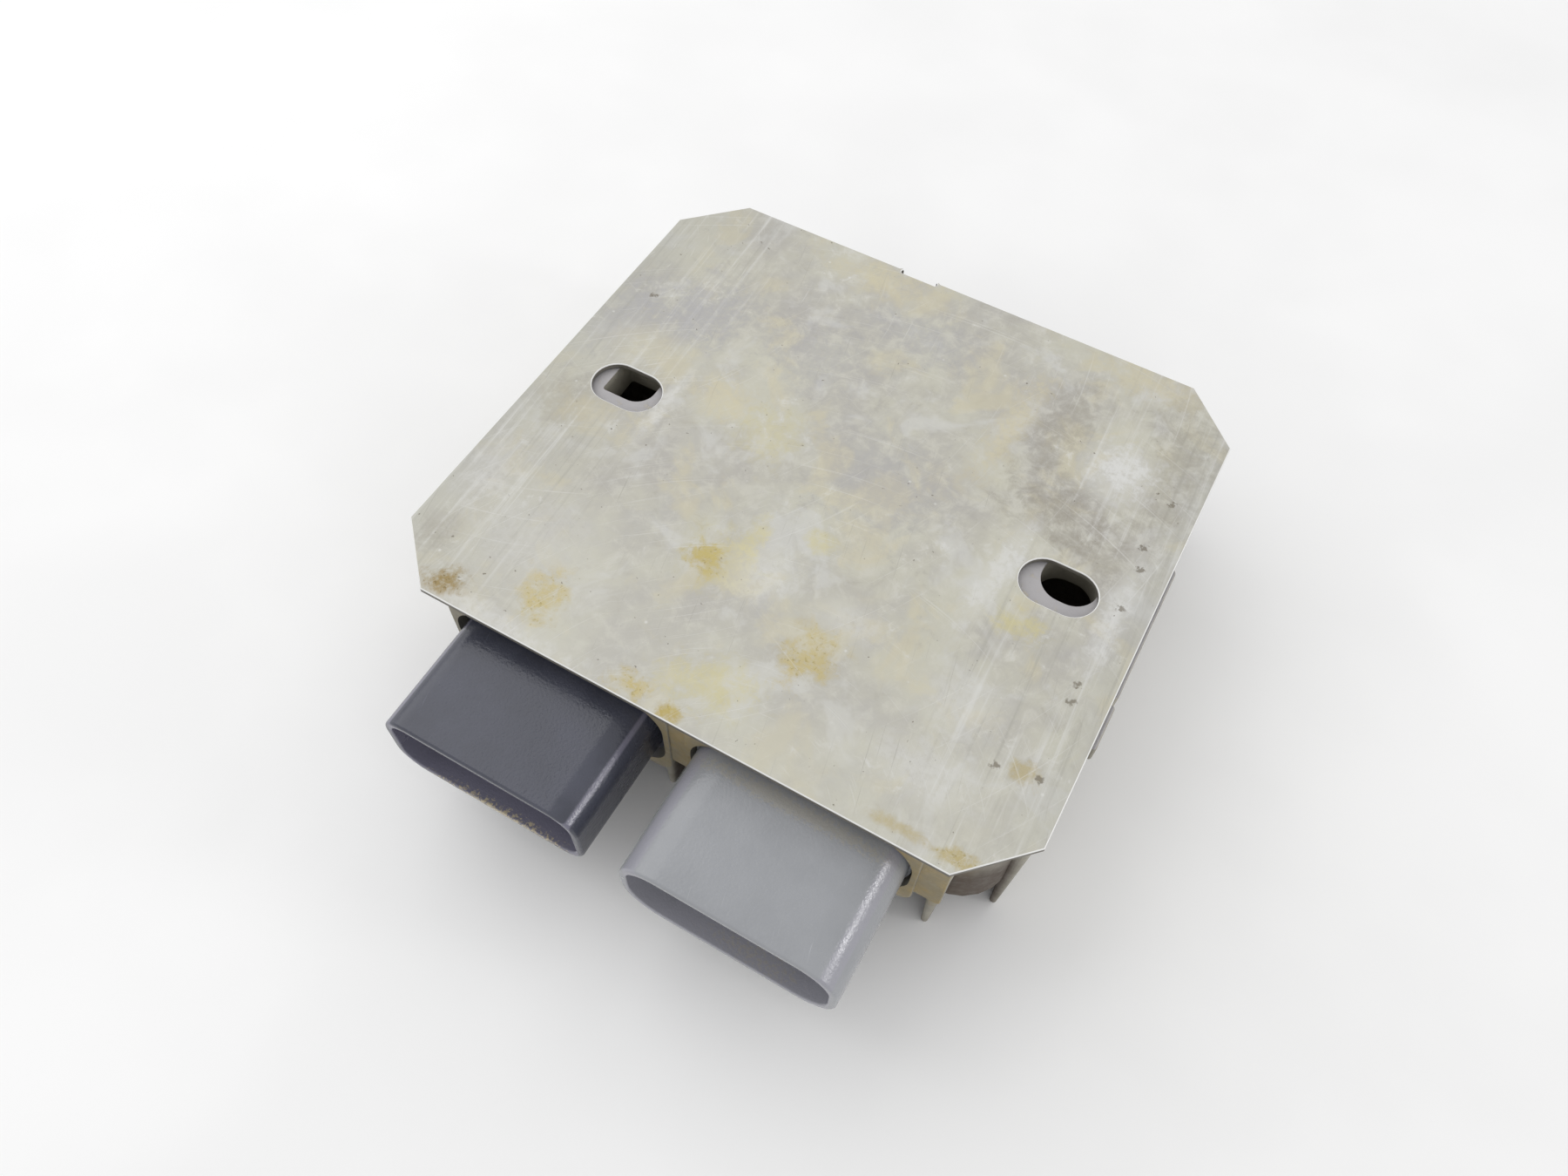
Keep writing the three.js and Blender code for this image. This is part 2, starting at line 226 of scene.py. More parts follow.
def bridge(mesh, rings):
    """Walls between each ring of vertices and the next."""
    for lower, upper in zip(rings, rings[1:]):
        for index in range(len(lower)):
            after = (index + 1) % len(lower)
            mesh.faces.new((lower[index], lower[after], upper[after], upper[index]))


def cap(mesh, loops):
    """Fills between the loops: the outside one first, then the holes."""
    if len(loops) == 1:
        mesh.faces.new(loops[0])
        return
    flat = [vertex for loop in loops for vertex in loop]
    for triangle in tessellate_polygon([[vertex.co for vertex in loop] for loop in loops]):
        mesh.faces.new([flat[index] for index in triangle])


def edge_profile(low, high, low_round, high_round, steps=3):
    """(height, inset) pairs up the side of a prism with rounded ends."""
    turns = quarter_turns(steps)
    bottom = turns if low_round else turns[:1]
    top = turns if high_round else turns[:1]
    pairs = [(low + low_round * rise, low_round * fall) for rise, fall in bottom]
    return pairs + [(high - high_round * rise, high_round * fall) for rise, fall in reversed(top)]


def prism(outlines, low, high, low_round=0.0, high_round=0.0, along_y=False):
    """Solid between two heights. outlines holds the outside and then the holes, which run clockwise."""
    mesh = bmesh.new()
    profile = edge_profile(low, high, low_round, high_round)
    bottoms, tops = [], []
    for outline in outlines:
        rings = [
            [mesh.verts.new((x, y, z)) for x, y in inset(outline, distance)]
            for z, distance in profile
        ]
        bridge(mesh, rings)
        bottoms.append(rings[0])
        tops.append(rings[-1])
    cap(mesh, bottoms)
    cap(mesh, tops)
    bmesh.ops.recalc_face_normals(mesh, faces=mesh.faces)
    if along_y:
        bmesh.ops.rotate(mesh, verts=mesh.verts, matrix=Matrix.Rotation(math.pi / 2, 3, "X"))
    return mesh


def prism_y(outlines, front, back, front_round=0.0, back_round=0.0):
    """Solid along Y from outlines drawn in X and Z."""
    return prism(outlines, -back, -front, back_round, front_round, along_y=True)


def hole(outline):
    """The outline turned round, so that the solid is outside it."""
    return list(reversed(outline))


def tube(sections):
    """Closed solid through a list of sections, each a ring of 3-D points, capped at both ends."""
    mesh = bmesh.new()
    rings = [[mesh.verts.new(point) for point in section] for section in sections]
    bridge(mesh, rings)
    mesh.faces.new(list(reversed(rings[0])))
    mesh.faces.new(rings[-1])
    bmesh.ops.recalc_face_normals(mesh, faces=mesh.faces)
    return mesh


def to_object(mesh, name, scale=MM):
    """Scales the mesh and puts it in the scene as a new object."""
    data = bpy.data.meshes.new(name)
    mesh.transform(Matrix.Scale(scale, 4))
    mesh.to_mesh(data)
    mesh.free()
    piece = bpy.data.objects.new(name, data)
    bpy.context.scene.collection.objects.link(piece)
    return piece


def combine(meshes, cutters, name):
    """Joins the meshes into one solid, cuts the cutters out of it, and returns the object."""
    base, *rest = [to_object(mesh, name, 1) for mesh in meshes]
    tools = [(tool, "UNION") for tool in rest]
    tools += [(to_object(mesh, "cutter", 1), "DIFFERENCE") for mesh in cutters]
    for tool, operation in tools:
        modifier = base.modifiers.new(operation, "BOOLEAN")
        modifier.operation = operation
        modifier.solver = "MANIFOLD"
        modifier.object = tool
    evaluated = base.evaluated_get(bpy.context.evaluated_depsgraph_get())
    mesh = bmesh.new()
    mesh.from_mesh(bpy.data.meshes.new_from_object(evaluated))
    for made in [base] + [tool for tool, _ in tools]:
        bpy.data.objects.remove(made)
    bmesh.ops.dissolve_degenerate(mesh, dist=1e-4, edges=mesh.edges)
    return to_object(mesh, name)


def finish_piece(piece, material, node):
    """Smooth shading with sharp corners kept, a material, and the CAD node that the piece stands for."""
    piece.data.materials.clear()
    piece.data.materials.append(material)
    piece.data.shade_smooth()
    piece.data.set_sharp_from_angle(angle=math.radians(SHARP_DEGREES))
    weighted = piece.modifiers.new("weighted", "WEIGHTED_NORMAL")
    weighted.keep_sharp = True
    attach(piece, "root")
    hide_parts(node)


# ---------- mounting sheet ----------


def mounting_sheet():
    front, back = PLATE_LOW[1], PLATE_HIGH[1]
    outline = octagon(0, PLATE_HIGH[0], front, back, PLATE_CHAMFER)
    left = NOTCH["x"] - NOTCH["width"] / 2
    right = NOTCH["x"] + NOTCH["width"] / 2
    bottom = back - NOTCH["depth"]
    back_left_corner = 5
    outline[back_left_corner:back_left_corner] = rounded(
        [(right, back, 0.3), (right, bottom, 0.4), (left, bottom, 0.4), (left, back, 0.3)], steps=3)
    slots = [
        hole(stadium(side * SLOT["x"], SLOT["y"], SLOT["length"], SLOT["width"], 18))
        for side in (-1, 1)
    ]
    sheet = prism([outline] + slots, PLATE_LOW[2], PLATE_HIGH[2], low_round=0.12, high_round=0.25)
    return to_object(sheet, "mounting_sheet")


# ---------- casting ----------


def fin_places():
    """X of each fin's middle, from left to right."""
    inner = [FIN_SHIFT + (index - (INNER_FINS - 1) / 2) * FIN_PITCH for index in range(INNER_FINS)]
    return [FIN_SHIFT - OUTER_FIN_X] + inner + [FIN_SHIFT + OUTER_FIN_X]


def fin(x):
    """Cooling fin with a draft on every side, nearly half-round ends and a rounded tip."""
    end_roundness = 0.96
    off_centre = abs(x - FIN_SHIFT)
    front = max(CAST_FRONT, off_centre - FRONT_CORNER)
    back = min(FIN_BACK, BACK_CORNER - off_centre)
    slope = (FIN_ROOT - FIN_TIP) / 2 / (CAST_TOP - TABLE_Z)
    levels = [(TABLE_Z + FIN_TIP / 2 * (1 - math.cos(angle)), FIN_TIP / 2 * math.sin(angle))
              for angle in (math.pi / 12, math.pi / 4, math.pi / 2)]
    levels.append((CAST_TOP - 0.1, FIN_ROOT / 2))
    rings = []
    for z, half in levels:
        lean = slope * (CAST_TOP - z) + max(0, FIN_TIP / 2 - half)
        outline = rectangle(x - half, x + half, front + lean, back - lean, half * end_roundness, 5)
        rings.append([(x, y, z) for x, y in outline])
    return tube(rings)


def root_flare(x):
    """Concave flare where a fin meets the underside of the pan, kept inside the pan's round corners."""
    reach = PAN["radius"]
    flare_width = 2
    corner = max(0.0, abs(x - FIN_SHIFT) + flare_width - (PAN["x"] - reach))
    setback = FIN_FLARE["setback"] + reach * (1 - math.sqrt(1 - (corner / reach) ** 2))
    radius = FIN_FLARE["radius"]
    bottom = PAN["bottom"]
    half = FIN_TIP / 2 + (bottom - TABLE_Z) * (FIN_ROOT - FIN_TIP) / 2 / (CAST_TOP - TABLE_Z)
    sunk, raised = 0.05, 0.3
    steps = 5
    side = [(half + radius - sunk, bottom + raised)]
    for step in range(1, steps + 1):
        angle = math.pi / 2 * step / steps
        side.append((half + radius * (1 - math.sin(angle)) - sunk, bottom - radius * (1 - math.cos(angle))))
    outline = [(x - dx, z) for dx, z in side] + [(x + dx, z) for dx, z in reversed(side)]
    return prism_y([outline], PAN["front"] + setback, PAN["back"] - setback)


def ear_pocket(side):
    """Well under an ear for the head of its bolt, open at the fin tips."""
    inner, outer = side * POCKET["inner"], side * POCKET["outer"]
    low, high = POCKET["y"] - POCKET["half_y"], POCKET["y"] + POCKET["half_y"]
    outline = rectangle(min(inner, outer), max(inner, outer), low, high, POCKET["radius"])
    return prism([outline], TABLE_Z - 1, EAR["bottom"], high_round=0.5)


def ear_hole(place):
    """Long hole through an ear, partly covered by the sheet's slot."""
    left, right, low, high = place["left"], place["right"], place["low"], place["high"]
    outline = rounded([
        (left, low, place["left_radius"]), (right, low, place["right_radius"]),
        (right, high, place["right_radius"]), (left, high, place["left_radius"]),
    ], 10)
    return prism([outline], EAR["bottom"] - 1, 1)


def casting_solids():
    """Pan, flange, ears, side lug, front apron, connector bosses and fins."""
    pan = rectangle(FIN_SHIFT - PAN["x"], FIN_SHIFT + PAN["x"], PAN["front"], PAN["back"], PAN["radius"])
    flange = octagon(FIN_SHIFT, FLANGE_X, CAST_FRONT, CAST_BACK, FLANGE_CHAMFER)
    ears = rectangle(-EAR["x"], EAR["x"], -EAR["y"], EAR["y"], 1.2)
    lug = rectangle(FLANGE_X - 2, LUG["x"], LUG["front"], LUG["back"], 0.5)
    apron = rectangle(APRON["left"], APRON["right"], APRON["bottom"], CAST_TOP - 0.1, 0.8)
    solids = [
        prism([pan], PAN["bottom"], CAST_TOP, low_round=1.2),
        prism([flange], CAST_TOP - FLANGE_THICK, CAST_TOP, low_round=0.5, high_round=0.25),
        prism([ears], EAR["tip"], CAST_TOP - 0.02, low_round=0.5, high_round=0.3),
        prism([lug], LUG["bottom"], LUG["top"], low_round=0.4, high_round=0.4),
        prism_y([apron], CAST_FRONT, APRON["back"], front_round=0.3),
    ]
    for port in CONNECTORS.values():
        boss = oval(port, port["boss"], BOSS_RADIUS)
        solids.append(prism_y([boss], BOSS_FACE, CAVITY["front"], front_round=0.3))
    places = fin_places()
    return solids + [fin(x) for x in places] + [root_flare(x) for x in places[1:-1]]


def casting_cutters():
    """Inside of the pan, gasket groove, bolt wells and holes, and stepped connector ports."""
    groove = [cavity(GROOVE["outer"]), hole(cavity(GROOVE["inner"]))]
    cutters = [
        prism([cavity()], CAVITY["floor"], 1, low_round=0.8),
        prism(groove, CAST_TOP - GROOVE["depth"], 1),
    ]
    cutters += [ear_pocket(side) for side in (-1, 1)]
    cutters += [ear_hole(place) for place in EAR_HOLES]
    for port in CONNECTORS.values():
        cutters.append(prism_y([oval(port, port["port"])], BOSS_FACE - 1, PORT_STEP))
        cutters.append(prism_y([oval(port, GAP - NECK_INSET)], PORT_STEP - 1, CAVITY["front"] + 1))
    return cutters


def housing_casting():
    return combine(casting_solids(), casting_cutters(), "housing_casting")


# ---------- connectors ----------


def shroud_profile(connector):
    """(grow, y) pairs from the neck over the flange and the mouth's lip, and back inside to the web."""
    flange, front = connector["flange"], connector["flange_front"]
    mouth = connector["mouth"]
    outer_lip, inner_lip = 0.45, 0.25
    outside, inside = -0.12, -SHROUD_WALL
    profile = [
        (-NECK_INSET, NECK_BACK), (-NECK_INSET, WEB_BACK), (flange - 0.2, WEB_BACK),
        (flange, WEB_BACK - 0.2), (flange, front + 0.2), (flange - 0.06, front + 0.06),
        (flange - 0.2, front), (0.15, front), (0.05, front - 0.05), (0, front - 0.2),
    ]
    profile += [(outside - outer_lip * rise, mouth + outer_lip * fall) for rise, fall in quarter_turns(4)]
    profile += [(inside + inner_lip * fall, mouth + inner_lip * rise) for rise, fall in quarter_turns(3)]
    return profile + [
        (inside - 0.15, WEB_FRONT - 0.6), (inside - 0.3, WEB_FRONT - 0.15), (inside - 0.8, WEB_FRONT),
    ]


def shroud_rib(x, bottom, mouth):
    """Thin raised line along the underside of a shroud."""
    outline = rectangle(
        x - RIB["width"] / 2, x + RIB["width"] / 2, bottom - RIB["height"], bottom + 0.4, 0.3, 4)
    return prism_y([outline], mouth + 0.5, RIB["back"], front_round=0.2, back_round=0.2)


def shroud(connector, name):
    """Oval plug shroud with its neck, web and flange, and two ribs under it."""
    shell = tube([
        [(x, y, z) for x, z in oval(connector, grow, steps=10)]
        for grow, y in shroud_profile(connector)
    ])
    bottom = PORT_Z - connector["height"] / 2
    ribs = [
        shroud_rib(connector["x"] + side * RIB["spread"], bottom, connector["mouth"])
        for side in (-1, 1)
    ]
    return combine([shell] + ribs, [], name)


def terminal(x, name):
    """Flat blade with a bevelled tip and softened edges, and its tail up through the board."""
    half, front, back = BLADE["width"] / 2, BLADE["front"], BLADE["back"]
    low, high = PORT_Z - BLADE["thick"] / 2, PORT_Z + BLADE["thick"] / 2
    tip_half, tip_back = half - BLADE["tip_inset"], front + BLADE["tip_length"]
    outline = [
        (x - half, tip_back), (x - tip_half, front), (x + tip_half, front),
        (x + half, tip_back), (x + half, back), (x - half, back),
    ]
    tail = rectangle(
        x - BLADE["tail"] / 2, x + BLADE["tail"] / 2, back - BLADE["thick"], back - 0.02, 0.1, 2)
    return combine([
        prism([outline], low, high, low_round=0.18, high_round=0.18),
        prism([tail], low + 0.2, BLADE["tail_top"], high_round=0.1),
    ], [], name)


# ---------- materials ----------


class Look:
    """A node material. Coordinates are the frame's, in millimetres."""

    def __init__(self, name, **sockets):
        self.material = bpy.data.materials.new(name)
        self.material.use_nodes = True
        self.nodes = self.material.node_tree.nodes
        self.links = self.material.node_tree.links
        self.shader = self.nodes["Principled BSDF"]
        self.place = self.node("ShaderNodeTexCoord").outputs["Object"]
        for socket, value in sockets.items():
            self.set(socket.title(), value)

    def node(self, kind, inputs=None, **settings):
        """Adds a node. inputs holds a number, a colour or another node's output for each socket."""
        made = self.nodes.new(kind)
        for setting, value in settings.items():
            setattr(made, setting, value)
        for key, value in (inputs or {}).items():
            self.feed(made.inputs[key], value)
        return made

    def feed(self, socket, value):
        if isinstance(value, bpy.types.NodeSocket):
            self.links.new(value, socket)
        else:
            socket.default_value = value

    def set(self, socket, value):
        self.feed(self.shader.inputs[socket], value)

    def scaled(self, size, turn=0.0, origin=(0, 0, 0)):
        """Coordinates from origin in which each unit is size mm, turned about Z by turn degrees."""
        if not isinstance(size, (tuple, list)):
            size = (size, size, size)
        return self.node("ShaderNodeMapping", {
            "Vector": self.place, "Location": [value * MM for value in origin],
            "Rotation": (0, 0, math.radians(turn)), "Scale": [value * MM for value in size],
        }, vector_type="TEXTURE").outputs[0]

    def noise(self, size, detail=3.0, rough=0.55, turn=0.0, distortion=0.0, origin=(0, 0, 0)):
        """Noise from 0 to 1 in lumps of about size mm."""
        return self.node("ShaderNodeTexNoise", {
            "Vector": self.scaled(size, turn, origin), "Scale": 1.0, "Detail": detail,
            "Roughness": rough, "Distortion": distortion,
        }).outputs["Fac"]

    def arcs(self, centre, pitch, sweep):
        """Noise drawn out into circular arcs round centre: pitch mm apart and sweep radians long."""
        split = self.node("ShaderNodeSeparateXYZ", {0: self.scaled(1, 0, (*centre, 0))})
        across, along = split.outputs[0], split.outputs[1]
        place = self.scaled((pitch, pitch, 1e6), 0, (*centre, 0))
        radius = self.node("ShaderNodeVectorMath", {0: place}, operation="LENGTH").outputs["Value"]
        angle = self.maths("DIVIDE", self.maths("ARCTAN2", along, across), sweep)
        polar = self.node("ShaderNodeCombineXYZ", {0: radius, 1: angle}).outputs[0]
        return self.node("ShaderNodeTexNoise", {
            "Vector": polar, "Scale": 1.0, "Detail": 2.0, "Roughness": 0.5,
        }).outputs["Fac"]

    def blot(self, x, y, reach_x, reach_y, turn, ragged, softness):
        """Mask of an oval stain, 1 in the middle, with an edge broken up by the ragged noise."""
        place = self.scaled((reach_x, reach_y, 1e6), turn, (x, y, 0))
        away = self.node("ShaderNodeVectorMath", {0: place}, operation="LENGTH").outputs["Value"]
        away = self.maths("ADD", away, self.band(ragged, 0.3, 0.7, -0.6, 0.6))
        return self.band(away, 1.1 + softness / 2, 0.6 - softness / 2)

    def band(self, value, low, high, to_low=0.0, to_high=1.0):
        """Smooth step from to_low to to_high as value goes from low to high."""
        return self.node("ShaderNodeMapRange", {
            "Value": value, "From Min": low, "From Max": high, "To Min": to_low, "To Max": to_high,
        }, interpolation_type="SMOOTHSTEP").outputs[0]

    def maths(self, operation, a, b=0.0):
        return self.node("ShaderNodeMath", {0: a, 1: b}, operation=operation).outputs[0]

    def mix(self, factor, a, b, blend="MIX"):
        """Colour a, with b over it by factor."""
        made = self.node("ShaderNodeMix", data_type="RGBA", blend_type=blend)
        sockets = {"Factor": made.inputs[0], "A": made.inputs[6], "B": made.inputs[7]}
        for key, value in (("Factor", factor), ("A", a), ("B", b)):
            if isinstance(value, tuple) and len(value) == 3:
                value = (*value, 1.0)
            self.feed(sockets[key], value)
        return made.outputs[2]

    def axis(self, index):
        """X, Y or Z in mm."""
        split = self.node("ShaderNodeSeparateXYZ", {0: self.scaled(1)})
        return split.outputs[index]

    def dots(self, spacing):
        """Mask of scattered round dots, about one for every two cells."""
        cells = self.node("ShaderNodeTexVoronoi", {
            "Vector": self.scaled((spacing, spacing, 1e3)), "Scale": 1.0, "Randomness": 1.0,
        })
        chosen = self.node("ShaderNodeSeparateXYZ", {0: cells.outputs["Color"]}).outputs[0]
        outer, inner, strength = 0.35, 0.12, 0.6
        near = self.band(cells.outputs["Distance"], outer / spacing, inner / spacing, 0, strength)
        return self.maths("MULTIPLY", near, self.band(chosen, 0.5, 0.6))

    def facing(self, index):
        """How far the surface faces along X, Y or Z, from -1 to 1."""
        normal = self.node("ShaderNodeNewGeometry").outputs["Normal"]
        return self.node("ShaderNodeSeparateXYZ", {0: normal}).outputs[index]

    def bump(self, height, distance, before=None):
        """Normal for a height map that is distance mm deep, on top of the one before."""
        inputs = {"Height": height, "Distance": distance * MM, "Strength": 1.0}
        if before is not None:
            inputs["Normal"] = before
        return self.node("ShaderNodeBump", inputs).outputs[0]


def srgb(red, green, blue):
    """Linear colour from 0-255 display values."""
    def linear(value):
        value /= 255
        return value / 12.92 if value <= 0.04045 else ((value + 0.055) / 1.055) ** 2.4
    return tuple(linear(value) for value in (red, green, blue))


BROWN, RUST, ORANGE = srgb(156, 134, 80), srgb(186, 164, 84), srgb(202, 184, 118)
YELLOW, BEIGE, CHALK = srgb(214, 204, 144), srgb(214, 206, 176), srgb(228, 228, 225)
LILAC, UMBER = srgb(176, 175, 179), srgb(160, 154, 142)

# Patches and stains on the sheet: x, y, reach along x and y, turn in degrees, strength, colour.
STAINS = [
    (-36, 20, 7, 9, -20, 0.6, LILAC), (-47, 13, 4, 10, 0, 0.5, LILAC), (-1, 35, 9, 5, 0, 0.45, LILAC),
    (-14, 22, 8, 7, 0, 0.4, LILAC), (7, 4, 10, 9, 0, 0.35, LILAC), (-13, 44, 9, 4, 0, 0.6, BEIGE),
    (38, 45, 9, 3, 0, 0.6, BEIGE), (20, 25, 2.6, 11, -5, 0.7, BEIGE), (-24, 6, 5, 4, 0, 0.6, BEIGE),
    (46, 30, 5, 13, 0, 0.5, UMBER), (33, 13, 7, 5.5, 0, 0.7, UMBER), (42, 7, 5, 4, 0, 0.5, UMBER),
    (-45, -7, 4, 5, 0, 0.45, UMBER), (27, 29, 4, 9, -10, 0.5, UMBER), (-47, -38, 3, 4, 0, 0.5, UMBER),
    (-35, -32, 9, 8, 0, 0.25, CHALK), (-47, -25, 4, 8, 0, 0.35, CHALK), (-1, -20, 5, 5, 0, 0.6, CHALK),
    (39, 25, 5, 5, 20, 0.9, CHALK), (34, -25, 5, 5, 0, 0.4, CHALK), (34, -37, 7, 4, 0, 0.45, CHALK),
    (-32, -47, 12, 2, 0, 0.5, CHALK), (14, -21, 5, 3, 0, 0.4, CHALK), (29.5, -2, 2, 10, -6, 0.7, CHALK),
    (47.5, -1, 1.8, 10, 0, 0.7, CHALK), (-31.2, -1, 1.2, 9, 0, 0.6, CHALK),
    (-41, -45, 3.2, 2.0, 20, 0.95, BROWN), (-27, -40, 3.2, 4.0, 10, 0.75, ORANGE),
    (-9.5, -22, 2.8, 2.8, -30, 0.95, RUST), (-7, -21, 5.5, 5, 0, 0.4, YELLOW),
    (-8, -45.6, 3, 2.0, 0, 0.85, ORANGE), (-1, -46.6, 2.2, 1.3, 0, 0.9, RUST),
    (2, -40, 6, 4, 15, 0.55, YELLOW), (12, -29, 3.6, 4.6, -20, 0.75, ORANGE),
    (4, -11, 2.4, 2.0, 0, 0.5, YELLOW), (-5, -15, 1.8, 3.6, 0, 0.5, YELLOW),
    (-13, 3, 5, 5, 0, 0.35, YELLOW), (36, -9, 3.6, 2.2, 0, 0.6, YELLOW),
    (46, -30, 2.0, 1.8, 0, 0.5, RUST), (43, -45.6, 3, 1.4, 0, 0.7, RUST), (34, -45.5, 4, 0.9, 0, 0.45, RUST),
    (-40, 9, 7, 4, 0, 0.35, BEIGE), (-40, -8, 6, 3, 0, 0.4, BEIGE),
]
# Corrosion specks: x, y.
SPECKS = [(47, 13), (48, 9), (48, 1), (47, -14), (47.3, -17), (48, 23), (42, -31), (48, -30), (-46, 20)]


def sheet_tones(look, fine):
    """Mottled ground of the sheet, greyer to the left and at the sides and paler towards the front."""
    colour = look.mix(
        look.band(look.noise(20, 4, 0.62), 0.34, 0.64), srgb(186, 183, 176), srgb(204, 202, 187))
    veil = look.noise((9, 14, 12), 5, 0.65, turn=-20, origin=(40, 10, 0))
    colour = look.mix(look.band(veil, 0.48, 0.68, 0, 0.35), colour, srgb(183, 182, 182))
    colour = look.mix(look.band(fine, 0.46, 0.66, 0, 0.5), colour, srgb(216, 214, 203))
    colour = look.mix(look.band(fine, 0.46, 0.3, 0, 0.5), colour, srgb(178, 174, 162))
    patches = look.noise(11, 4, 0.6, distortion=0.6, origin=(-30, 70, 0))
    colour = look.mix(look.band(patches, 0.52, 0.66, 0, 0.5), colour, srgb(212, 204, 174))
    colour = look.mix(look.band(patches, 0.46, 0.34, 0, 0.5), colour, srgb(216, 216, 213))
    across, along = look.axis(0), look.axis(1)
    colour = look.mix(look.band(along, -14, -46, 0, 0.3), colour, srgb(213, 212, 200))
    colour = look.mix(look.band(across, -18, -50, 0, 0.3), colour, srgb(176, 174, 164))
    from_middle = look.maths("ABSOLUTE", across)
    return look.mix(look.band(from_middle, 44, 52, 0, 0.3), colour, srgb(186, 186, 180))


def sheet_wipes(look, colour):
    """Pale and dark streaks along Y near both sides of the sheet."""
    sides = look.band(look.maths("ABSOLUTE", look.axis(0)), 26, 36)
    wipes = look.noise((1.1, 42, 30), 4, 0.65, turn=2)
    pale = look.maths("MULTIPLY", sides, look.band(wipes, 0.52, 0.72, 0, 0.5))
    dark = look.maths("MULTIPLY", sides, look.band(wipes, 0.46, 0.3, 0, 0.45))
    return look.mix(dark, look.mix(pale, colour, CHALK), srgb(170, 168, 158))


def sheet_stains(look, colour, ragged):
    """The patches of STAINS, with darker crumbs in the rusty ones."""
    grain = look.band(look.noise(1.1, 4, 0.7), 0.34, 0.56, 0.5, 1.0)
    crumbs = look.band(look.noise(0.7, 3, 0.6, origin=(5, 9, 0)), 0.58, 0.66)
    crumbly, crumb_shade = 0.7, 0.7
    for x, y, reach_x, reach_y, turn, strength, stain in STAINS:
        mask = look.maths("MULTIPLY", look.blot(x, y, reach_x, reach_y, turn, ragged, 0.9), strength)
        colour = look.mix(look.maths("MULTIPLY", mask, grain), colour, stain)
        if strength >= crumbly and stain in (BROWN, RUST, ORANGE):
            dark = tuple(value * crumb_shade for value in stain)
            colour = look.mix(look.maths("MULTIPLY", mask, crumbs), colour, dark)
    return colour


def scratch_mask(look):
    """Scratches in two sets of arcs and two straight directions."""
    lines = [
        look.band(look.arcs((12, -58), 0.32, 0.5), 0.62, 0.74),
        look.band(look.arcs((-60, 30), 0.4, 0.35), 0.64, 0.76),
        look.band(look.noise((0.22, 26, 20), 2, 0.5, turn=-28), 0.66, 0.78),
        look.band(look.noise((0.2, 34, 20), 2, 0.5, turn=64), 0.67, 0.8),
    ]
    scratches = lines[0]
    for line in lines[1:]:
        scratches = look.maths("MAXIMUM", scratches, line)
    return scratches


def pit_mask(look):
    """Fine pits all over, and the larger SPECKS."""
    pits = look.band(look.noise(0.9, 2, 0.5), 0.72, 0.78)
    ragged = look.noise(0.6, 2)
    for x, y in SPECKS:
        pits = look.maths("MAXIMUM", pits, look.blot(x, y, 0.7, 0.5, 30, ragged, 0.3))
    return pits


def sheet_look():
    """Bare aluminium sheet: wiped, scratched, stained and lightly corroded, with a painted highlight on its
    rounded edges and painted shade on its side faces.
    """
    look = Look("sheet_aluminium", metallic=0.1)
    fine = look.noise(3.2, 6, 0.7, distortion=0.4)
    bloom = look.maths("MULTIPLY", look.band(fine, 0.56, 0.7), look.band(look.noise(15, 3), 0.5, 0.66))
    grime = look.band(look.noise((0.26, 18, 20), 2, 0.5, turn=12), 0.66, 0.8, 0, 0.35)
    scratches = scratch_mask(look)
    pits = pit_mask(look)

    colour = sheet_wipes(look, sheet_tones(look, fine))
    colour = sheet_stains(look, colour, fine)
    colour = look.mix(look.maths("MULTIPLY", bloom, 0.7), colour, CHALK)
    colour = look.mix(look.maths("MULTIPLY", scratches, 0.32), colour, srgb(232, 232, 228))
    colour = look.mix(grime, colour, srgb(140, 136, 124))
    colour = look.mix(look.maths("MULTIPLY", pits, 0.7), colour, srgb(112, 102, 84))
    for spacing, tint in ((5.5, srgb(228, 228, 224)), (13, srgb(130, 122, 104))):
        colour = look.mix(look.dots(spacing), colour, tint)
    # Painted highlight: near-white on the rounded edges, where the surface tilts away from facing up.
    # Painted shade: dark on the steep side faces of the sheet.
    painted_edge_highlight = look.band(look.facing(2), 0.985, 0.9)
    painted_side_shade = look.band(look.facing(2), 0.3, 0.1)
    colour = look.mix(painted_edge_highlight, colour, srgb(250, 250, 248))
    colour = look.mix(painted_side_shade, colour, srgb(120, 116, 108))
    shade = 0.85
    look.set("Base Color", look.mix(1.0, colour, (shade, shade, shade), "MULTIPLY"))

    satin = look.band(fine, 0.3, 0.7, 0.5, 0.62)
    look.set("Roughness", look.maths("ADD", satin, look.maths("MULTIPLY", bloom, 0.2)))
    skin = look.bump(look.noise((0.35, 3, 1), 4, 0.6), 0.012)
    skin = look.bump(scratches, -0.012, skin)
    crust = look.maths("SUBTRACT", look.maths("MULTIPLY", bloom, 0.5), pits)
    look.set("Normal", look.bump(crust, 0.05, skin))
    return look.material


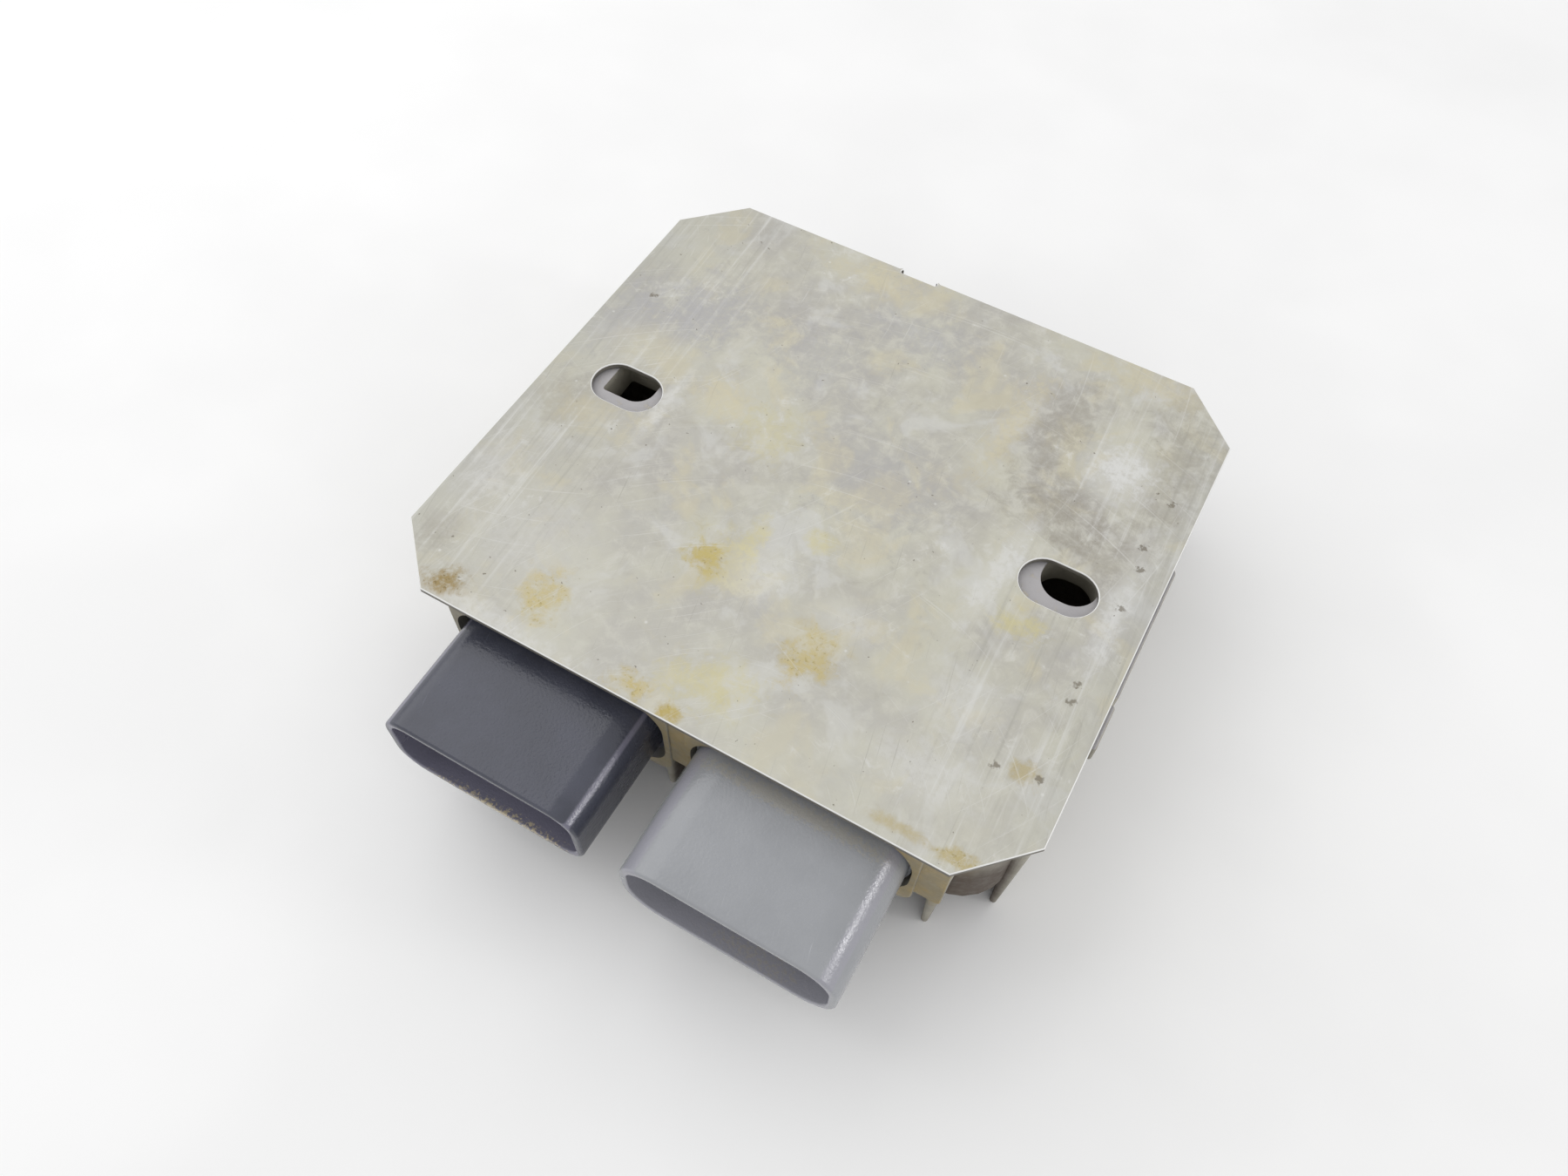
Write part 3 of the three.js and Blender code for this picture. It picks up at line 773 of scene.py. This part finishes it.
def cast_look():
    """Die-cast aluminium: grey-brown on the fins, with painted light on faces that point up, yellow-brown on
    the front wall, and painted dark shade in the recesses under the pan.
    """
    look = Look("cast_aluminium", metallic=0.12)
    coarse, fine = look.noise(9, 4, 0.6), look.noise(1.6, 4, 0.6)
    across, along, up = look.axis(0), look.axis(1), look.axis(2)
    colour = look.mix(look.band(coarse, 0.35, 0.65), srgb(140, 136, 124), srgb(166, 162, 150))
    # Painted light: faces that point up (+Z) are made lighter, as if lit from above.
    colour = look.mix(look.band(look.facing(2), 0.6, 0.95, 0, 0.8), colour, srgb(174, 172, 176))

    wall = look.band(look.facing(1), -0.4, -0.9)
    wall = look.maths("MULTIPLY", wall, look.band(along, -41, -44))
    wall = look.maths("MULTIPLY", wall, look.band(up, -25, -19))
    wall = look.maths("MULTIPLY", wall, look.band(across, -34, -14, 0.15, 1.0))
    stained = look.mix(look.band(look.noise(5, 4, 0.6), 0.4, 0.66), srgb(146, 134, 104), srgb(166, 144, 94))
    colour = look.mix(look.maths("MULTIPLY", wall, 0.85), colour, stained)

    # Painted shade: dark brown on the casting between and under the fins, inside the fin block, growing
    # stronger lower down.
    from_middle = look.maths("ABSOLUTE", look.maths("SUBTRACT", across, FIN_SHIFT))
    painted_recess_shade = look.band(from_middle, 50.5, 48.5)
    painted_recess_shade = look.maths("MULTIPLY", painted_recess_shade, look.band(along, -45.2, -43.4))
    painted_recess_shade = look.maths("MULTIPLY", painted_recess_shade, look.band(along, 48.4, 45.4))
    painted_recess_shade = look.maths("MULTIPLY", painted_recess_shade, look.band(up, -3, -15))
    colour = look.mix(look.maths("MULTIPLY", painted_recess_shade, 0.93), colour, srgb(74, 62, 52))

    crust = look.maths("MULTIPLY", look.band(fine, 0.56, 0.68), look.band(coarse, 0.46, 0.6))
    crust = look.maths("MULTIPLY", crust, look.band(painted_recess_shade, 0.1, 0.6, 1.0, 0.25))
    colour = look.mix(look.maths("MULTIPLY", crust, 0.45), colour, srgb(190, 180, 150))
    look.set("Base Color", colour)
    look.set("Roughness", look.band(fine, 0.3, 0.7, 0.5, 0.72))
    skin = look.bump(look.noise(0.6, 4, 0.6), 0.05)
    look.set("Normal", look.bump(crust, 0.08, skin))
    return look.material


def plastic_look(name, connector, base, worn, inner, dirt, dirt_places):
    """Moulded plastic with a fine speckled skin, faint scuffs, and dirt caught in a few places.

    inner is the colour inside the socket. dirt_places holds (centre, reach, strength) for each place.
    """
    look = Look(name)
    mottle = look.noise(7, 4, 0.6)
    colour = look.mix(look.band(mottle, 0.3, 0.7), base, worn)
    scuffs = look.band(look.noise((0.25, 9, 0.25), 3, 0.6, turn=14), 0.64, 0.78, 0, 0.4)
    colour = look.mix(scuffs, colour, tuple(min(1.0, value * 1.5) for value in worn))

    socket = 1.0
    for axis, middle, size in ((0, connector["x"], connector["width"]), (2, PORT_Z, connector["height"])):
        away = look.maths("ABSOLUTE", look.maths("SUBTRACT", look.axis(axis), middle))
        socket = look.maths("MULTIPLY", socket, look.band(away, size / 2 - 1, size / 2 - 1.3))
    colour = look.mix(socket, colour, inner)

    ragged = look.band(look.noise(0.5, 4, 0.65), 0.3, 0.7, -0.5, 0.5)
    for centre, reach, strength in dirt_places:
        away = look.node("ShaderNodeVectorMath", {0: look.scaled(reach, 0, centre)}, operation="LENGTH")
        near = look.maths("ADD", away.outputs["Value"], ragged)
        colour = look.mix(look.band(near, 1.15, 0.6, 0, strength), colour, dirt)
    look.set("Base Color", colour)
    look.set("Roughness", look.band(mottle, 0.3, 0.7, 0.2, 0.28))
    skin = look.bump(look.noise(0.45, 2, 0.6), 0.045)
    look.set("Normal", look.bump(scuffs, -0.01, skin))
    return look.material


def plain_look(name, base, other, size, roughness, metallic):
    """Two close tones and a fine surface."""
    look = Look(name, roughness=roughness, metallic=metallic)
    mottle = look.noise(size, 4, 0.6)
    look.set("Base Color", look.mix(look.band(mottle, 0.35, 0.65), base, other))
    look.set("Normal", look.bump(look.noise(size / 8, 3, 0.6), size / 400))
    return look.material


# Finish of the small and sealed pieces: two tones, size of the mottling in mm, roughness, metallic.
PLAIN_FINISHES = {
    "rubber_seal": ((0.02, 0.02, 0.02), (0.04, 0.038, 0.035), 3, 0.75, 0.0),
    "tinned_metal": ((0.6, 0.6, 0.58), (0.48, 0.47, 0.44), 2, 0.3, 1.0),
    "ceramic": ((0.72, 0.7, 0.64), (0.62, 0.6, 0.54), 4, 0.5, 0.0),
    "black_moulding": ((0.018, 0.018, 0.02), (0.03, 0.03, 0.032), 2, 0.55, 0.0),
    "potting_resin": ((0.02, 0.019, 0.018), (0.035, 0.032, 0.03), 8, 0.3, 0.0),
    "circuit_board": ((0.02, 0.11, 0.045), (0.03, 0.15, 0.06), 5, 0.4, 0.0),
    "capacitor_sleeve": ((0.02, 0.02, 0.05), (0.03, 0.03, 0.07), 3, 0.4, 0.0),
}
PLAIN_LOOKS = {slot: plain_look(slot, *finish) for slot, finish in PLAIN_FINISHES.items()}

# ---------- the pieces ----------


def input_look():
    dirty_lip = ((-19, -66.2, -20.8), (13, 1.5, 2.0), 0.95)
    return plastic_look(
        "dark_plastic", CONNECTORS["input"], base=srgb(63, 65, 76), worn=srgb(72, 74, 86),
        inner=srgb(112, 111, 126), dirt=srgb(184, 172, 144), dirt_places=[dirty_lip])


def output_look():
    under_sheet = ((20, -48.5, -5), (17, 1.2, 1.5), 0.25)
    lower_lip = ((24, -65, -21), (10, 2, 1.2), 0.3)
    return plastic_look(
        "grey_plastic", CONNECTORS["output"], base=srgb(146, 148, 152), worn=srgb(151, 153, 157),
        inner=srgb(150, 150, 158), dirt=srgb(176, 166, 136), dirt_places=[under_sheet, lower_lip])


finish_piece(mounting_sheet(), sheet_look(), "mounting_plate")
finish_piece(housing_casting(), cast_look(), "heatsink_housing")
input_shroud = shroud(CONNECTORS["input"], "input_shroud")
finish_piece(input_shroud, input_look(), "input_connector_shell")
output_shroud = shroud(CONNECTORS["output"], "output_shroud")
finish_piece(output_shroud, output_look(), "output_connector_shell")

blades_made = 0
for subpart in frame["record"]["subparts"]:
    node, slot = subpart["node"], subpart["material_slot"]
    if slot == "tinned_metal":
        blades_made += 1
        low, high = box_mm(node)
        blade = terminal((low[0] + high[0]) / 2, f"blade_{blades_made}")
        finish_piece(blade, PLAIN_LOOKS[slot], node)
    elif slot in PLAIN_LOOKS:
        materials = frame["nodes"][node].data.materials
        materials.clear()
        materials.append(PLAIN_LOOKS[slot])

# ---------- floor, light and camera ----------


def floor():
    half_size = 3000
    mesh = bmesh.new()
    bmesh.ops.create_grid(mesh, x_segments=1, y_segments=1, size=half_size)
    bmesh.ops.translate(mesh, verts=mesh.verts, vec=(0, 0, TABLE_Z))
    piece = to_object(mesh, "table_top")
    look = Look("table_top", roughness=0.55)
    mottle = look.band(look.noise(60, 3), 0.3, 0.7)
    look.set("Base Color", look.mix(mottle, (0.86, 0.86, 0.86), (0.9, 0.9, 0.9)))
    piece.data.materials.append(look.material)


def area_light(name, place, target, size, power):
    """Round soft light at place, turned to target, in metres and watts."""
    light = bpy.data.lights.new(name, "AREA")
    light.shape = "DISK"
    light.size = size
    light.energy = power
    lamp = bpy.data.objects.new(name, light)
    lamp.location = place
    lamp.rotation_euler = (Vector(target) - Vector(place)).to_track_quat("-Z", "Y").to_euler()
    bpy.context.scene.collection.objects.link(lamp)


def camera():
    """Camera over the front right corner, close to the object."""
    place = Vector((0.04525, -0.10154, 0.14782))
    target = Vector((0.003146, -0.020884, 0))
    roll_degrees = 2.305
    data = bpy.data.cameras.new("camera")
    data.sensor_width = 36
    data.lens = 26.886
    data.clip_start = 0.005
    eye = bpy.data.objects.new("camera", data)
    aim = (target - place).to_track_quat("-Z", "Y").to_matrix()
    roll = Matrix.Rotation(math.radians(roll_degrees), 3, "Z")
    eye.matrix_world = Matrix.Translation(place) @ (aim @ roll).to_4x4()
    bpy.context.scene.collection.objects.link(eye)
    bpy.context.scene.camera = eye


def surroundings():
    """Even white light from all round."""
    strength = 0.84
    world = bpy.data.worlds.new("studio")
    world.use_nodes = True
    background = world.node_tree.nodes["Background"]
    background.inputs["Color"].default_value = (1, 1, 1, 1)
    background.inputs["Strength"].default_value = strength
    bpy.context.scene.world = world
    bpy.context.scene.view_settings.view_transform = "Standard"


floor()
area_light("key", place=(-0.55, 0.1, 0.55), target=(0, 0, 0), size=0.9, power=2.2)
area_light("low_right", place=(0.78, 0.16, 0.2), target=(0, -0.05, -0.01), size=0.12, power=0.9)
camera()
surroundings()
